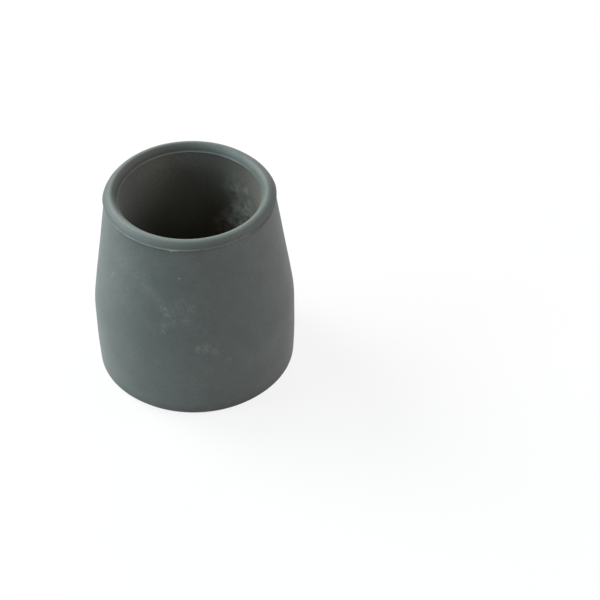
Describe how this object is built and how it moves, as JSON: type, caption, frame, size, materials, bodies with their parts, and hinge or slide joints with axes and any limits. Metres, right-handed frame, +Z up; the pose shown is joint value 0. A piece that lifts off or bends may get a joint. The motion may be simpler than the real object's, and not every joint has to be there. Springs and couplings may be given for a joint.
{
  "type": "rubber cane tip",
  "caption": "Push-on rubber tip with a blind round socket for a tube, a rounded lip, a tapered body and a flat tread of concentric rings.",
  "frame": {"origin": "centre of the ground face, at the middle of the tread", "axes": "+Z up along the axis of the socket, out of its mouth; the tip is turned about +Z, so X and Y are free"},
  "size_m": [0.0421, 0.042, 0.0435],
  "materials": {
    "rubber": "matte moulded grey rubber"
  },
  "bodies": {
    "root": {"cane_tip": "rubber"}
  },
  "joints": []
}
